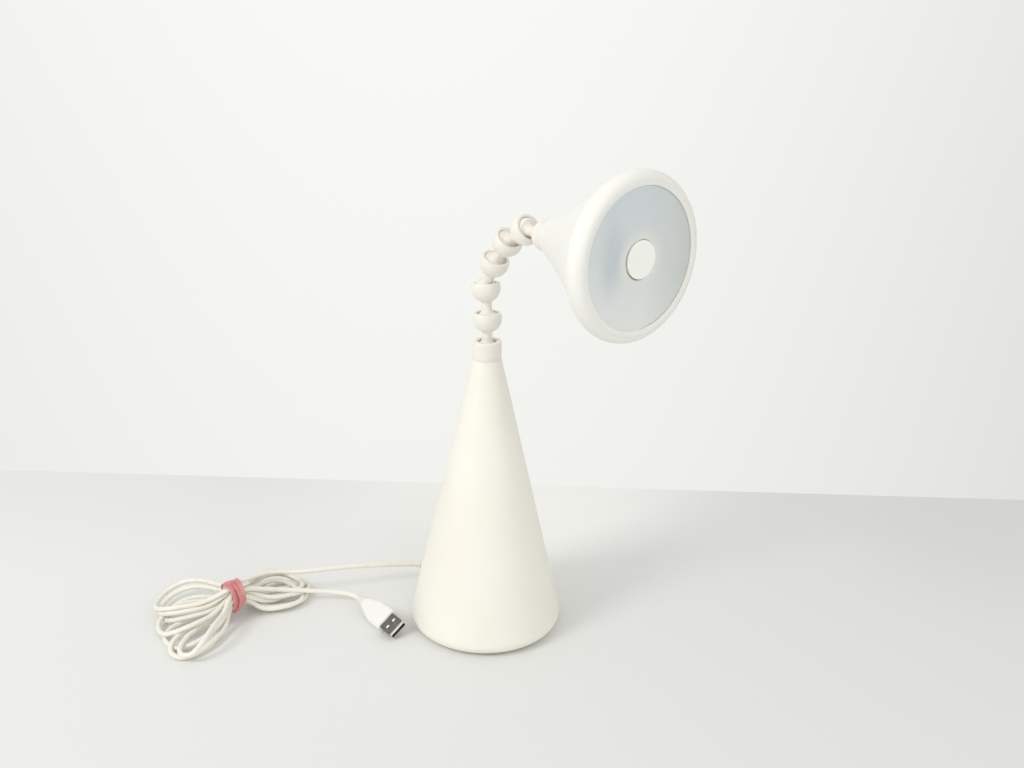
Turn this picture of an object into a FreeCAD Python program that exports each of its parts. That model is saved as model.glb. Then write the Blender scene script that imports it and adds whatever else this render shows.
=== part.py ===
import FreeCAD, Part
import math
import os

os.makedirs("parts", exist_ok=True)

# Desk lamp with a conical base, a ball-jointed neck and a trumpet head.
# Origin: centre of the resting face of the foot pad. +Z up, the head looks along -Y.

V = FreeCAD.Vector

# ---------- base ----------
base_radius = 50.0              # widest point of the rounded foot
foot_roll_radius = 6.0          # rounding between underside and cone
foot_flat_radius = base_radius - foot_roll_radius
cone_top_z = 185.0
cone_top_radius = 9.05
pad_thickness = 1.5
pad_radius = foot_flat_radius - 3.0
pad_edge_round = 0.5
shell_wall = 2.3
shell_ledge_width = 1.4         # ledge above the base plate
shell_ledge_height = 2.0
plate_thickness = 2.2
plate_radius = foot_flat_radius - 0.6
plate_top_z = pad_thickness + plate_thickness
boss_count = 3
boss_radius = 3.6
boss_circle_radius = plate_radius - 6.8
boss_top_z = 48.0
base_screw_shank = 1.5
base_screw_head = 2.9
base_screw_length = 12.0
ballast_radius = foot_flat_radius - 14.0
ballast_thickness = 10.0
ballast_bore = 6.0
ballast_chamfer = 0.8

# ---------- ball and cup joints of the neck ----------
ball_radius = 7.0
joint_gap = 0.25                # ball to cup cavity
cup_radius = 9.0
cup_rim_above_centre = 3.4
cup_mouth_chamfer = 0.5
pitch = 18.8                    # from one ball centre to the next
neck_radius = 3.1
ball_shoulder_height = 2.6      # the ball ends here and a hollow foot leads to the neck
neck_foot_radius = 3.8
cup_fillet = 1.6
lead_radius = 1.6
bell_mouth_radius = 4.4
bell_mouth_depth = 3.4
cavity_radius = ball_radius + joint_gap

# lean of every neck segment from upright, towards the head side
segment_lean = [0.0, -5.0, 25.0, 40.0, 60.0]
head_lean = 91.0

# ---------- collar on top of the cone ----------
collar_ball_z = cone_top_z + 7.0
collar_rim_above_centre = 4.5
collar_rim_z = collar_ball_z + collar_rim_above_centre
collar_rim_round = 0.5
collar_radius = 9.0
spigot_radius = 5.1
spigot_length = 9.0
cone_top_wall = 2.7
collar_nut_flats = 13.0
nut_thickness = 4.0
nut_chamfer = 0.5

# ---------- head (distances run along the head axis from its ball centre) ----------
head_root = pitch + 2.2
head_root_radius = 9.3
dome_step = 0.6                 # from the dome's widest point to the full root radius
rim_outer_radius = 44.65
rim_roll_radius = 5.6           # front half of the rolled rim
flare_to_rim = 64.5
rim_roll_centre = head_root + flare_to_rim
rim_back_radius = 7.6           # back half of the rolled rim
rim_back_centre = rim_roll_centre - 0.4
rim_back_turn = 60.0            # degrees of the back half before it meets the flare
rim_crease_radius = 4.0
flare_root_angle = 24.0         # flare against the head axis where it leaves the root
head_wall = 2.0
head_root_wall = 2.5
front_bore_radius = rim_outer_radius - 4.55
seat_radius = front_bore_radius - 4.7       # cone behind the bore that seats the reflector
diffuser_front = rim_roll_centre + 4.5
diffuser_thickness = 2.0
diffuser_back = diffuser_front - diffuser_thickness
insert_bore_depth = 5.2         # straight bore behind the diffuser
seat_cone_front = diffuser_back - insert_bore_depth
tray_depth = 12.2
ledge_front = diffuser_back - tray_depth
ledge_thickness = 2.0
ledge_back = ledge_front - ledge_thickness
ledge_radius = seat_radius - 2.6
head_spigot_radius = 5.5
head_nut_flats = 14.0
spigot_past_nut = 1.5
bezel_inner_radius = front_bore_radius - 2.9
bezel_inner_lip = diffuser_front + 0.3
bezel_lip_round = 0.5
bezel_seam = 0.05
bezel_set_back = 0.03           # bezel surface behind the rolled rim
insert_gap = 0.2                # diffuser and reflector to the bore and the seat
insert_radius = front_bore_radius - insert_gap
reflector_floor = 1.5
reflector_wall = 1.4
board_radius = seat_radius - 1.2
board_side_gap = 0.2
board_thickness = 1.6
chip_length = 3.5
chip_width = 2.8
chip_height = 0.8
chip_inset = 9.0
chip_circle_radius = board_radius - chip_inset
chip_count = 18
board_screw_circle = board_radius - 3.0
board_screw_shank = 1.0
board_screw_head = 2.0
board_screw_head_height = 1.3
board_screw_count = 3

# ---------- push button in the middle of the diffuser ----------
button_radius = 10.07
button_face = diffuser_front + 0.9
button_travel = 1.5
button_clearance = 0.3
button_top_wall = 1.6
button_skirt_wall = 1.5
button_edge = 0.6
flange_radius = 11.4
flange_thickness = 1.2
flange_gap = 0.2
stem_radius = 4.6
stem_back = diffuser_back - 3.5
plunger_radius = 3.0
plunger_clearance = 0.1
plunger_back = stem_back - 3.5
plunger_front = stem_back + 1.7
switch_width = 12.0
switch_height = 4.0
switch_floor = 0.3

# ---------- supply cord and its strain relief in the base wall ----------
cord_diameter = 3.3
relief_azimuth = 92.5
relief_z = 13.4
relief_inner = foot_flat_radius - 2.5
relief_body_radius = 4.0
relief_flange_radius = 5.2
relief_flange_thickness = 1.8
relief_inner_flange_thickness = 2.4
relief_seat_gap = 0.3
relief_core_radius = 2.0
relief_root_ring_radius = 3.7   # the sleeve tapers through its rings
relief_tip_ring_radius = 2.3
relief_ring_count = 9
relief_ring_length = 1.25
relief_turn = 45.5              # degrees the sleeve bends towards the hank
relief_turn_radius = 24.0

# lead inside the base, from the strain relief up the middle of the cone
lead_straight = 8.0
lead_rise_radius = 20.0
lead_rise_height = 10.5
lead_centred_z = 70.0

# run of cord from the strain relief to the hank
run_first_bend = V(-33.0, 79.8, 15.7)
run_second_bend = V(-60.0, 90.7, 18.2)
run_over_lobe = V(-86.0, 102.2, 18.0)
run_hank_entry = V(-103.0, 111.0, 20.8)
run_hank_end = V(-120.5, 107.5, 22.0)

# ---------- plug ----------
plug_x = -61.4
plug_root_y = 26.5              # where the metal shell leaves the grip
plug_roll = 33.6                # the plug lies on one edge of its grip
grip_width = 16.0
grip_thickness = 8.0
grip_length = 28.5
grip_corner = 3.0
grip_shoulder = 14.0            # length over which the sides close in on the sleeve
grip_shoulder_round = 8.0
grip_tail_width = 7.4
tail_length = 7.5
tail_root_radius = 3.3
tail_tip_radius = 2.3
tail_rib_count = 4
shell_width = 12.0
shell_thickness = 4.5
shell_sheet = 0.35
shell_exposed = 12.3
shell_embedded = 4.0
latch_width = 2.3
latch_length = 2.0
latch_spacing = 5.6
latch_from_front = 6.2
tongue_width = 11.1
tongue_thickness = 1.9
contact_count = 4
contact_pitch = 2.25
contact_width = 1.1
contact_thickness = 0.15
contact_length = 8.0
plug_run_straight = 7.3
plug_run_side_step = 0.5
plug_run_first_bend = V(-70.6, 80.0, 7.2)
plug_run_second_bend = V(-86.0, 90.5, 8.8)
plug_run_hank_entry = V(-102.0, 97.5, 12.0)

# ---------- hank of cord lying beside the base ----------
hank_waist = V(-132.0, 104.5, 17.0)    # the tie holds the bundle up, clear of the floor
hank_axis_angle = 182.0         # heading of the waist, right lobe to left lobe
waist_half_width = 8.6
waist_half_height = 8.3
waist_length = 26.0
band_width = 9.0
band_thickness = 2.0
right_lobe_end = V(-94.5, 109.5, 0)
right_lobe_radius = 17.5
far_lobe_end = V(-160.0, 141.0, 0)
far_lobe_radius = 18.0
near_lobe_end = V(-172.5, 88.0, 0)
near_lobe_radius = 15.0
link_radius = 8.0
high_lobe = 14.0                # height of the piled loops at their far end
low_lobe = 9.0                  # height of the loops that lie spread out
lobe_landing = 0.5              # share of a lobe's reach before its loops lie on the floor


# ------------------------------------------------------------------ helpers
def lathe(start, *steps):
    """Turned solid about Z from (r, z) points; a step is (end) or (mid, end) for an arc."""
    edges = []
    here = V(start[0], 0, start[1])
    first = here
    for step in steps:
        if isinstance(step[0], tuple):
            mid = V(step[0][0], 0, step[0][1])
            end = V(step[1][0], 0, step[1][1])
            edges.append(Part.Arc(here, mid, end).toShape())
        else:
            end = V(step[0], 0, step[1])
            edges.append(Part.makeLine(here, end))
        here = end
    if here.distanceToPoint(first) > 1e-6:
        edges.append(Part.makeLine(here, first))
    face = Part.Face(Part.Wire(edges))
    return face.revolve(V(0, 0, 0), V(0, 0, 1), 360)


def on_circle(centre, radius, degrees):
    """(r, z) point on a circle; 0 degrees points outwards, 90 along the axis."""
    a = math.radians(degrees)
    return (centre[0] + radius * math.cos(a), centre[1] + radius * math.sin(a))


def rod(radius, z0, z1, x=0.0, y=0.0):
    return Part.makeCylinder(radius, z1 - z0, V(x, y, z0))


def hex_nut(flats, z0, z1, bore):
    points = []
    for k in range(7):
        a = math.radians(60 * k)
        points.append(V(flats / math.sqrt(3) * math.cos(a), flats / math.sqrt(3) * math.sin(a), z0))
    body = Part.Face(Part.makePolygon(points)).extrude(V(0, 0, z1 - z0))
    crown = rod(flats / math.sqrt(3), z0, z1)
    rims = [e for e in crown.Edges if e.BoundBox.ZLength < 1e-6]
    body = body.common(crown.makeChamfer(nut_chamfer, rims))
    return body.cut(rod(bore, z0 - 1, z1 + 1))


def leaned(shape, lean, origin):
    """Turn a shape built along +Z by its lean about X and move it to its ball centre."""
    out = shape.copy()
    out.rotate(V(0, 0, 0), V(1, 0, 0), lean)
    out.translate(origin)
    return out


def step_from(origin, lean, length):
    a = math.radians(lean)
    return origin + V(0, -math.sin(a) * length, math.cos(a) * length)


def joint_centres():
    """Centre of every ball: five for the segments and the last one for the head."""
    centres = [V(0, 0, collar_ball_z)]
    for lean in segment_lean:
        centres.append(step_from(centres[-1], lean, pitch))
    return centres


CENTRES = joint_centres()


def in_head(shape):
    return leaned(shape, head_lean, CENTRES[-1])


def export(shapes, name):
    solids = shapes if isinstance(shapes, list) else [shapes]
    clean = []
    for s in solids:
        clean.extend(s.Solids)
    out = clean[0] if len(clean) == 1 else Part.makeCompound(clean)
    out.exportStep("parts/" + name + ".step")
    box = out.BoundBox
    print("%-22s solids %2d valid %s vol %9.2f z %.2f..%.2f" % (
        name, len(clean), all(s.isValid() for s in clean), sum(s.Volume for s in clean),
        box.ZMin, box.ZMax))
    return out


# ------------------------------------------------------------------ base
foot_centre = (base_radius - foot_roll_radius, pad_thickness + foot_roll_radius)


def cone_half_angle():
    """Angle of the cone side from upright, tangent to the foot rolling."""
    dr = foot_centre[0] - cone_top_radius
    dz = cone_top_z - foot_centre[1]
    reach = math.hypot(dr, dz)
    return math.degrees(math.atan2(dr, dz) + math.asin(foot_roll_radius / reach))


CONE_ANGLE = cone_half_angle()
CONE_SLOPE = math.tan(math.radians(CONE_ANGLE))
TANGENT = on_circle(foot_centre, foot_roll_radius, CONE_ANGLE)


def cone_radius(z, inset=0.0):
    return TANGENT[0] - (z - TANGENT[1]) * CONE_SLOPE - inset / math.cos(math.radians(CONE_ANGLE))


def base_outer():
    return lathe((0, pad_thickness), (foot_centre[0], pad_thickness),
                 (on_circle(foot_centre, foot_roll_radius, -45),
                  on_circle(foot_centre, foot_roll_radius, 0)),
                 (on_circle(foot_centre, foot_roll_radius, CONE_ANGLE / 2), TANGENT),
                 (cone_top_radius, cone_top_z), (0, cone_top_z))


def base_cavity():
    ledge_top = plate_top_z + shell_ledge_height
    inner_roll = foot_roll_radius - shell_wall
    low = on_circle(foot_centre, inner_roll, -25)
    roof = cone_top_z - cone_top_wall
    return lathe((0, pad_thickness), (plate_radius, pad_thickness), (plate_radius, plate_top_z),
                 (plate_radius - shell_ledge_width, plate_top_z),
                 (plate_radius - shell_ledge_width, ledge_top),
                 (low[0], ledge_top), low,
                 (on_circle(foot_centre, inner_roll, 0),
                  on_circle(foot_centre, inner_roll, CONE_ANGLE)),
                 (cone_radius(roof, shell_wall), roof), (0, roof))


def boss_positions():
    spots = []
    for k in range(boss_count):
        a = math.radians(relief_azimuth + 180 + 360 * k / boss_count)
        spots.append((boss_circle_radius * math.cos(a), boss_circle_radius * math.sin(a)))
    return spots


def relief_placed(shape):
    """Turn a shape built along +Z so that it points outwards along the cord exit."""
    out = shape.copy()
    out.rotate(V(0, 0, 0), V(0, 1, 0), 90)
    out.rotate(V(0, 0, 0), V(0, 0, 1), relief_azimuth)
    out.translate(V(0, 0, relief_z))
    return out


def base_shell():
    outer = base_outer()
    shell = outer.cut(base_cavity())
    for x, y in boss_positions():
        boss = rod(boss_radius, plate_top_z, boss_top_z, x, y).common(outer)
        hole = rod(base_screw_shank, plate_top_z - 1, plate_top_z + base_screw_length, x, y)
        shell = shell.fuse(boss).cut(hole)
    shell = shell.cut(rod(spigot_radius, cone_top_z - 2 * cone_top_wall, cone_top_z + 1))
    shell = shell.cut(relief_placed(rod(relief_body_radius, relief_inner, 2 * base_radius)))
    return shell.removeSplitter()


def screw_head_depth():
    return base_screw_head - base_screw_shank


def base_plate():
    plate = rod(plate_radius, pad_thickness, plate_top_z)
    for x, y in boss_positions():
        plate = plate.cut(rod(base_screw_shank, 0, 2 * boss_top_z, x, y))
        sink = Part.makeCone(base_screw_head, base_screw_shank, screw_head_depth(),
                             V(x, y, pad_thickness))
        plate = plate.cut(sink)
    return plate


def base_screws():
    screws = []
    for x, y in boss_positions():
        top = pad_thickness + base_screw_length
        shank = rod(base_screw_shank, pad_thickness, top, x, y)
        head = Part.makeCone(base_screw_head, base_screw_shank, screw_head_depth(),
                             V(x, y, pad_thickness))
        screws.append(shank.fuse(head).removeSplitter())
    return screws


def foot_pad():
    pad = rod(pad_radius, 0, pad_thickness)
    return pad.makeFillet(pad_edge_round, [e for e in pad.Edges if abs(e.BoundBox.ZMax) < 1e-6])


def ballast_disc():
    top = plate_top_z + ballast_thickness
    disc = rod(ballast_radius, plate_top_z, top)
    disc = disc.makeChamfer(ballast_chamfer, [e for e in disc.Edges if e.BoundBox.ZMin > top - 0.01])
    return disc.cut(rod(ballast_bore, plate_top_z - 1, top + 1))


def neck_collar():
    rounding = (collar_radius - collar_rim_round, collar_rim_z - collar_rim_round)
    body = lathe((0, cone_top_z - spigot_length), (spigot_radius, cone_top_z - spigot_length),
                 (spigot_radius, cone_top_z), (collar_radius, cone_top_z),
                 (collar_radius, rounding[1]),
                 (on_circle(rounding, collar_rim_round, 45), (rounding[0], collar_rim_z)),
                 (0, collar_rim_z))
    body = body.cut(Part.makeSphere(cavity_radius, V(0, 0, collar_ball_z)))
    mouth = math.sqrt(cavity_radius ** 2 - collar_rim_above_centre ** 2)
    body = body.cut(Part.makeCone(mouth, mouth + cup_mouth_chamfer, cup_mouth_chamfer,
                                  V(0, 0, collar_rim_z - cup_mouth_chamfer)))
    return body.cut(rod(lead_radius, cone_top_z - spigot_length - 1, collar_ball_z))


def collar_nut():
    top = cone_top_z - cone_top_wall
    return hex_nut(collar_nut_flats, top - nut_thickness, top, spigot_radius)


def base_lead():
    """Two-core lead from the cord exit up the middle of the cone into the collar."""
    points = [along_relief(relief_inner), along_relief(relief_inner - lead_straight),
              along_relief(lead_rise_radius, lead_rise_height), V(0, 0, lead_centred_z),
              V(0, 0, collar_ball_z - cavity_radius)]
    return corded(points, 2 * lead_radius)[0]


# ------------------------------------------------------------------ cord tubes
def corded(points, diameter):
    """Round tube along straight runs joined by tangent arcs; also returns the arc radii."""
    edges = []
    radii = []
    here = points[0]
    for k in range(1, len(points) - 1):
        back = points[k - 1].sub(points[k])
        ahead = points[k + 1].sub(points[k])
        shorter = min(back.Length, ahead.Length)
        back.normalize()
        ahead.normalize()
        half_turn = (math.pi - back.getAngle(ahead)) / 2
        trim = 0.45 * shorter
        radius = trim / math.tan(half_turn)
        start = points[k] + back * trim
        end = points[k] + ahead * trim
        middle = back + ahead
        middle.normalize()
        mid = points[k] + middle * (radius / math.cos(half_turn) - radius)
        edges.append(Part.makeLine(here, start))
        edges.append(Part.Arc(start, mid, end).toShape())
        radii.append(radius)
        here = end
    edges.append(Part.makeLine(here, points[-1]))
    path = Part.Wire(edges)
    heading = points[1].sub(points[0])
    section = Part.Wire([Part.makeCircle(diameter / 2, points[0], heading)])
    tube = path.makePipeShell([section], True, False)
    area = math.pi * diameter ** 2 / 4
    print("tube length %.1f, volume ratio %.3f, radii %s" % (
        path.Length, tube.Volume / (area * path.Length), [round(r, 1) for r in radii]))
    return tube, path.Length


def along_relief(radius, rise=0.0):
    """Point on the vertical plane of the cord exit, at the height of the exit plus a rise."""
    a = math.radians(relief_azimuth)
    return V(radius * math.cos(a), radius * math.sin(a), relief_z + rise)


def base_run_points():
    """From the strain relief over the right lobe into the waist of the hank."""
    return [sleeve_point(relief_turn)[0], run_first_bend, run_second_bend, run_over_lobe,
            run_hank_entry, run_hank_end]


def plug_axis_z():
    """Height of the plug axis when the rolled grip touches the floor."""
    a = math.radians(plug_roll)
    across = (grip_width / 2 - grip_corner) * math.sin(a)
    up = (grip_thickness / 2 - grip_corner) * math.cos(a)
    return across + up + grip_corner


def plug_run_points():
    """From the tail of the plug back over the floor into the hank."""
    tail = V(plug_x, plug_root_y + grip_length + tail_length, plug_axis_z())
    return [tail, tail + V(-plug_run_side_step, plug_run_straight, 0), plug_run_first_bend,
            plug_run_second_bend, plug_run_hank_entry]


def relief_rings(root_radius, tip_radius, z0, z1, count, depth):
    """Tapered sleeve with ring grooves, along +Z."""
    sleeve = Part.makeCone(root_radius, tip_radius, z1 - z0, V(0, 0, z0))
    spacing = (z1 - z0) / (count + 1.0)
    for k in range(count):
        z = z0 + spacing * (k + 0.75)
        radius = root_radius + (tip_radius - root_radius) * (z - z0) / (z1 - z0)
        outer = rod(radius + 1, z, z + spacing * 0.4)
        sleeve = sleeve.cut(outer.cut(rod(radius - depth, z - 1, z + spacing)))
    return sleeve


def relief_wall_radius():
    """Where the outer flange sits on the wall of the base."""
    return cone_radius(relief_z - relief_body_radius) + relief_seat_gap


def sleeve_point(turned):
    """Point and heading on the bent sleeve axis after it has turned by some degrees."""
    root = along_relief(relief_wall_radius() + relief_flange_thickness)
    a = math.radians(relief_azimuth)
    b = math.radians(relief_azimuth + turned)
    step = V(math.sin(b) - math.sin(a), math.cos(a) - math.cos(b), 0)
    return root + step * relief_turn_radius, V(math.cos(b), math.sin(b), 0)


def relief_sleeve():
    """Round core on an arc, with rings that get smaller towards the cord."""
    start, heading = sleeve_point(0)
    middle = sleeve_point(relief_turn / 2)[0]
    end = sleeve_point(relief_turn)[0]
    path = Part.Wire([Part.Arc(start, middle, end).toShape()])
    section = Part.Wire([Part.makeCircle(relief_core_radius, start, heading)])
    sleeve = path.makePipeShell([section], True, False)
    ring_turn = math.degrees(relief_ring_length / relief_turn_radius)
    for k in range(relief_ring_count):
        share = k / (relief_ring_count - 1.0)
        radius = relief_root_ring_radius + share * (relief_tip_ring_radius - relief_root_ring_radius)
        foot, heading = sleeve_point(ring_turn / 2 + share * (relief_turn - ring_turn))
        foot = foot - heading * (relief_ring_length / 2)
        sleeve = sleeve.fuse(Part.makeCylinder(radius, relief_ring_length, foot, heading))
    return sleeve


def cord_strain_relief():
    wall_out = relief_wall_radius()
    body = rod(relief_body_radius, relief_inner, wall_out)
    inner_flange = rod(relief_flange_radius, relief_inner,
                       relief_inner + relief_inner_flange_thickness)
    outer_flange = rod(relief_flange_radius, wall_out, wall_out + relief_flange_thickness)
    fixed = relief_placed(body.fuse([inner_flange, outer_flange]))
    return fixed.fuse(relief_sleeve()).removeSplitter()


# ------------------------------------------------------------------ neck
def fillet_between(sphere_radius, neck, fillet):
    """Tangent points, seen from the sphere centre, of a fillet from a cup to a thinner neck."""
    reach = sphere_radius + fillet
    z = math.sqrt(reach ** 2 - (neck + fillet) ** 2)
    on_ball = ((neck + fillet) * sphere_radius / reach, z * sphere_radius / reach)
    mid_angle = (math.atan2(-z, -(neck + fillet)) - math.pi) / 2
    centre = (neck + fillet, z)
    mid = (centre[0] + fillet * math.cos(mid_angle), centre[1] + fillet * math.sin(mid_angle))
    return on_ball, mid, (neck, z)


def neck_foot():
    """Hollow foot between the shoulder of a ball and its neck: middle and upper end."""
    shoulder_angle = math.degrees(math.asin(ball_shoulder_height / ball_radius))
    shoulder = on_circle((0, 0), ball_radius, shoulder_angle)
    centre_r = neck_radius + neck_foot_radius
    below = math.sqrt(neck_foot_radius ** 2 - (centre_r - shoulder[0]) ** 2)
    centre = (centre_r, shoulder[1] + below)
    low_angle = math.degrees(math.atan2(-below, shoulder[0] - centre_r)) % 360
    middle = on_circle(centre, neck_foot_radius, (low_angle + 180) / 2)
    return shoulder, middle, (neck_radius, centre[1])


def ball_and_neck(outline_top):
    """Profile steps from the bottom of the ball up its side to the start of the next part."""
    shoulder, middle, on_neck = neck_foot()
    shoulder_angle = math.degrees(math.atan2(shoulder[1], shoulder[0]))
    return [(on_circle((0, 0), ball_radius, -45), (ball_radius, 0.0)),
            (on_circle((0, 0), ball_radius, shoulder_angle / 2), shoulder),
            (middle, on_neck)] + outline_top


def below_next(point):
    """Turn a point measured up from a ball into one measured down from the next centre."""
    return (point[0], pitch - point[1])


def cup_bottom():
    """Profile steps from the neck up the outside of a cup to its widest point."""
    on_cup, mid, on_neck = fillet_between(cup_radius, neck_radius, cup_fillet)
    return [below_next(on_neck), (below_next(mid), below_next(on_cup)),
            (on_circle((0, pitch), cup_radius, -25), (cup_radius, pitch))]


def cup_outline(rim_height):
    """Profile steps from the neck up the outside of the cup to its rim."""
    rim_angle = math.degrees(math.asin(rim_height / cup_radius))
    return cup_bottom() + [(on_circle((0, pitch), cup_radius, rim_angle / 2),
                            on_circle((0, pitch), cup_radius, rim_angle))]


def bell_mouth():
    depth = bell_mouth_depth
    return Part.makeCone(bell_mouth_radius, lead_radius, depth, V(0, 0, -ball_radius))


def neck_segment():
    steps = ball_and_neck(cup_outline(cup_rim_above_centre))
    body = lathe((0, -ball_radius), *(steps + [(0, pitch + cup_rim_above_centre)]))
    rim_z = pitch + cup_rim_above_centre
    body = body.cut(Part.makeSphere(cavity_radius, V(0, 0, pitch)))
    mouth = math.sqrt(cavity_radius ** 2 - cup_rim_above_centre ** 2)
    body = body.cut(Part.makeCone(mouth - 0.1, mouth + cup_mouth_chamfer, cup_mouth_chamfer + 0.1,
                                  V(0, 0, rim_z - cup_mouth_chamfer - 0.1)))
    body = body.cut(rod(lead_radius, -ball_radius - 1, pitch))
    return body.cut(bell_mouth())


def neck_lead():
    return rod(lead_radius, bell_mouth_depth - ball_radius, pitch - cavity_radius)


# ------------------------------------------------------------------ head
def head_collar():
    """Ball, neck and dome that carry the head, with a threaded spigot into the shell."""
    spigot_end = head_root + head_root_wall + nut_thickness + spigot_past_nut
    top = cup_bottom() + [(head_root_radius, pitch + dome_step), (head_root_radius, head_root),
                          (head_spigot_radius, head_root), (head_spigot_radius, spigot_end)]
    body = lathe((0, -ball_radius), *(ball_and_neck(top) + [(0, spigot_end)]))
    body = body.cut(rod(lead_radius, -ball_radius - 1, spigot_end + 1))
    return body.cut(bell_mouth())


def rim_back_start():
    """Where the back half of the rolled rim meets the flare."""
    centre = (rim_outer_radius - rim_back_radius, rim_back_centre)
    return on_circle(centre, rim_back_radius, -rim_back_turn)


def flare_circle():
    """Centre and radius of the hollow flare from the head root to the rolled rim."""
    end = rim_back_start()
    dr = end[0] - head_root_radius
    dz = end[1] - head_root
    c = math.cos(math.radians(flare_root_angle))
    s = math.sin(math.radians(flare_root_angle))
    radius = (dr ** 2 + dz ** 2) / (2 * (dr * c - dz * s))
    return (head_root_radius + radius * c, head_root - radius * s), radius


def flare_arc(wall, z0, z1):
    """Start, middle and end of the flare between two heights, a wall further in."""
    centre, radius = flare_circle()
    low, high = [180 - math.degrees(math.asin((z - centre[1]) / (radius + wall)))
                 for z in (z0, z1)]
    return [on_circle(centre, radius + wall, a) for a in (low, (low + high) / 2, high)]


def head_outer():
    """Solid trumpet with its rolled rim, up to the seam of the bezel."""
    back = (rim_outer_radius - rim_back_radius, rim_back_centre)
    roll = (rim_outer_radius - rim_roll_radius, rim_roll_centre)
    seam_angle = math.degrees(math.acos((front_bore_radius - roll[0]) / rim_roll_radius))
    seam = on_circle(roll, rim_roll_radius, seam_angle)
    root, middle, meet = flare_arc(0, head_root, rim_back_start()[1])
    outer = lathe((0, head_root), root, (middle, meet),
                  (on_circle(back, rim_back_radius, -rim_back_turn / 2),
                   (rim_outer_radius, rim_back_centre)),
                  (rim_outer_radius, rim_roll_centre),
                  (on_circle(roll, rim_roll_radius, seam_angle / 2), seam), (0, seam[1]))
    crease = [e for e in outer.Edges
              if e.BoundBox.ZLength < 1e-6 and abs(e.BoundBox.ZMin - meet[1]) < 1e-6]
    return outer.makeFillet(rim_crease_radius, crease)


def seat_space(gap, front):
    """Bore behind the diffuser with the cone that seats the reflector, less a gap."""
    return lathe((0, ledge_front), (seat_radius - gap, ledge_front),
                 (front_bore_radius - gap, seat_cone_front), (front_bore_radius - gap, front),
                 (0, front))


def head_shell():
    back = head_root + head_root_wall
    start, middle, end = flare_arc(head_wall, back, ledge_back)
    shell = head_outer().cut(lathe((0, back), start, (middle, end), (0, ledge_back)))
    shell = shell.cut(rod(ledge_radius, ledge_back - 0.01, ledge_front + 0.01))
    shell = shell.cut(seat_space(0, rim_roll_centre + rim_roll_radius + 1))
    return shell.cut(rod(head_spigot_radius, head_root - 1, back + 1)).removeSplitter()


def head_nut():
    back = head_root + head_root_wall
    return hex_nut(head_nut_flats, back, back + nut_thickness, head_spigot_radius)


def head_bezel():
    """Thin ring that finishes the rolled rim and traps the diffuser."""
    roll = (rim_outer_radius - rim_roll_radius, rim_roll_centre - bezel_set_back)
    outer = front_bore_radius - bezel_seam
    outer_angle = math.degrees(math.acos((outer - roll[0]) / rim_roll_radius))
    lip = (bezel_inner_radius + bezel_lip_round, bezel_inner_lip)
    return lathe((bezel_inner_radius, diffuser_front), (outer, diffuser_front),
                 on_circle(roll, rim_roll_radius, outer_angle),
                 (on_circle(roll, rim_roll_radius, (outer_angle + 90) / 2),
                  on_circle(roll, rim_roll_radius, 90)),
                 on_circle(lip, bezel_lip_round, 120),
                 (on_circle(lip, bezel_lip_round, 150), on_circle(lip, bezel_lip_round, 180)))


def diffuser():
    disc = rod(insert_radius, diffuser_back, diffuser_front)
    return disc.cut(rod(button_radius + button_clearance, diffuser_back - 1, diffuser_front + 1))


def reflector():
    tray = seat_space(insert_gap, diffuser_back)
    tray = tray.cut(Part.makeCone(board_radius + board_side_gap, insert_radius - reflector_wall,
                                  diffuser_back - ledge_front - reflector_floor,
                                  V(0, 0, ledge_front + reflector_floor)))
    tray = tray.cut(rod(lead_radius, ledge_front - 1, diffuser_back))
    for x, y in board_screw_positions():
        tray = tray.cut(rod(board_screw_shank, ledge_front - 1, diffuser_back, x, y))
    return tray


BOARD_BACK = ledge_front + reflector_floor
BOARD_FRONT = BOARD_BACK + board_thickness


def board_screw_positions():
    spots = []
    for k in range(board_screw_count):
        a = math.radians(90 + 360 * k / board_screw_count)
        spots.append((board_screw_circle * math.cos(a), board_screw_circle * math.sin(a)))
    return spots


def led_board():
    board = rod(board_radius, BOARD_BACK, BOARD_FRONT)
    for x, y in board_screw_positions():
        board = board.cut(rod(board_screw_shank, BOARD_BACK - 1, BOARD_FRONT + 1, x, y))
    return board


def board_screws():
    screws = []
    for x, y in board_screw_positions():
        head = rod(board_screw_head, BOARD_FRONT, BOARD_FRONT + board_screw_head_height, x, y)
        shank = rod(board_screw_shank, ledge_front, BOARD_FRONT, x, y)
        screws.append(head.fuse(shank).removeSplitter())
    return screws


def led_chips():
    chips = []
    for k in range(chip_count):
        chip = Part.makeBox(chip_width, chip_length, chip_height,
                            V(chip_circle_radius, -chip_length / 2, BOARD_FRONT))
        chip.rotate(V(0, 0, 0), V(0, 0, 1), 360.0 * (k + 0.5) / chip_count)
        chips.append(chip)
    return chips


def switch_body():
    body = Part.makeBox(switch_width, switch_width, switch_height,
                        V(-switch_width / 2, -switch_width / 2, BOARD_FRONT))
    bore = rod(plunger_radius + plunger_clearance, BOARD_FRONT + switch_floor,
               BOARD_FRONT + switch_height + 1)
    return body.cut(bore)


def switch_plunger():
    return rod(plunger_radius, plunger_back, plunger_front)


def push_button():
    flange_front = diffuser_back - flange_gap
    cap = rod(button_radius, flange_front - flange_thickness, button_face)
    cap = cap.makeFillet(button_edge, [e for e in cap.Edges if e.BoundBox.ZMin > button_face - 0.01])
    cap = cap.fuse(rod(flange_radius, flange_front - flange_thickness, flange_front))
    hollow = rod(button_radius - button_skirt_wall, flange_front - flange_thickness - 1,
                 button_face - button_top_wall)
    cap = cap.cut(hollow)
    cap = cap.fuse(rod(stem_radius, stem_back, button_face - button_top_wall + 0.2))
    return cap.cut(rod(plunger_radius, stem_back - 1, plunger_front)).removeSplitter()


def head_lead():
    return rod(lead_radius, bell_mouth_depth - ball_radius, BOARD_BACK)


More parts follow.
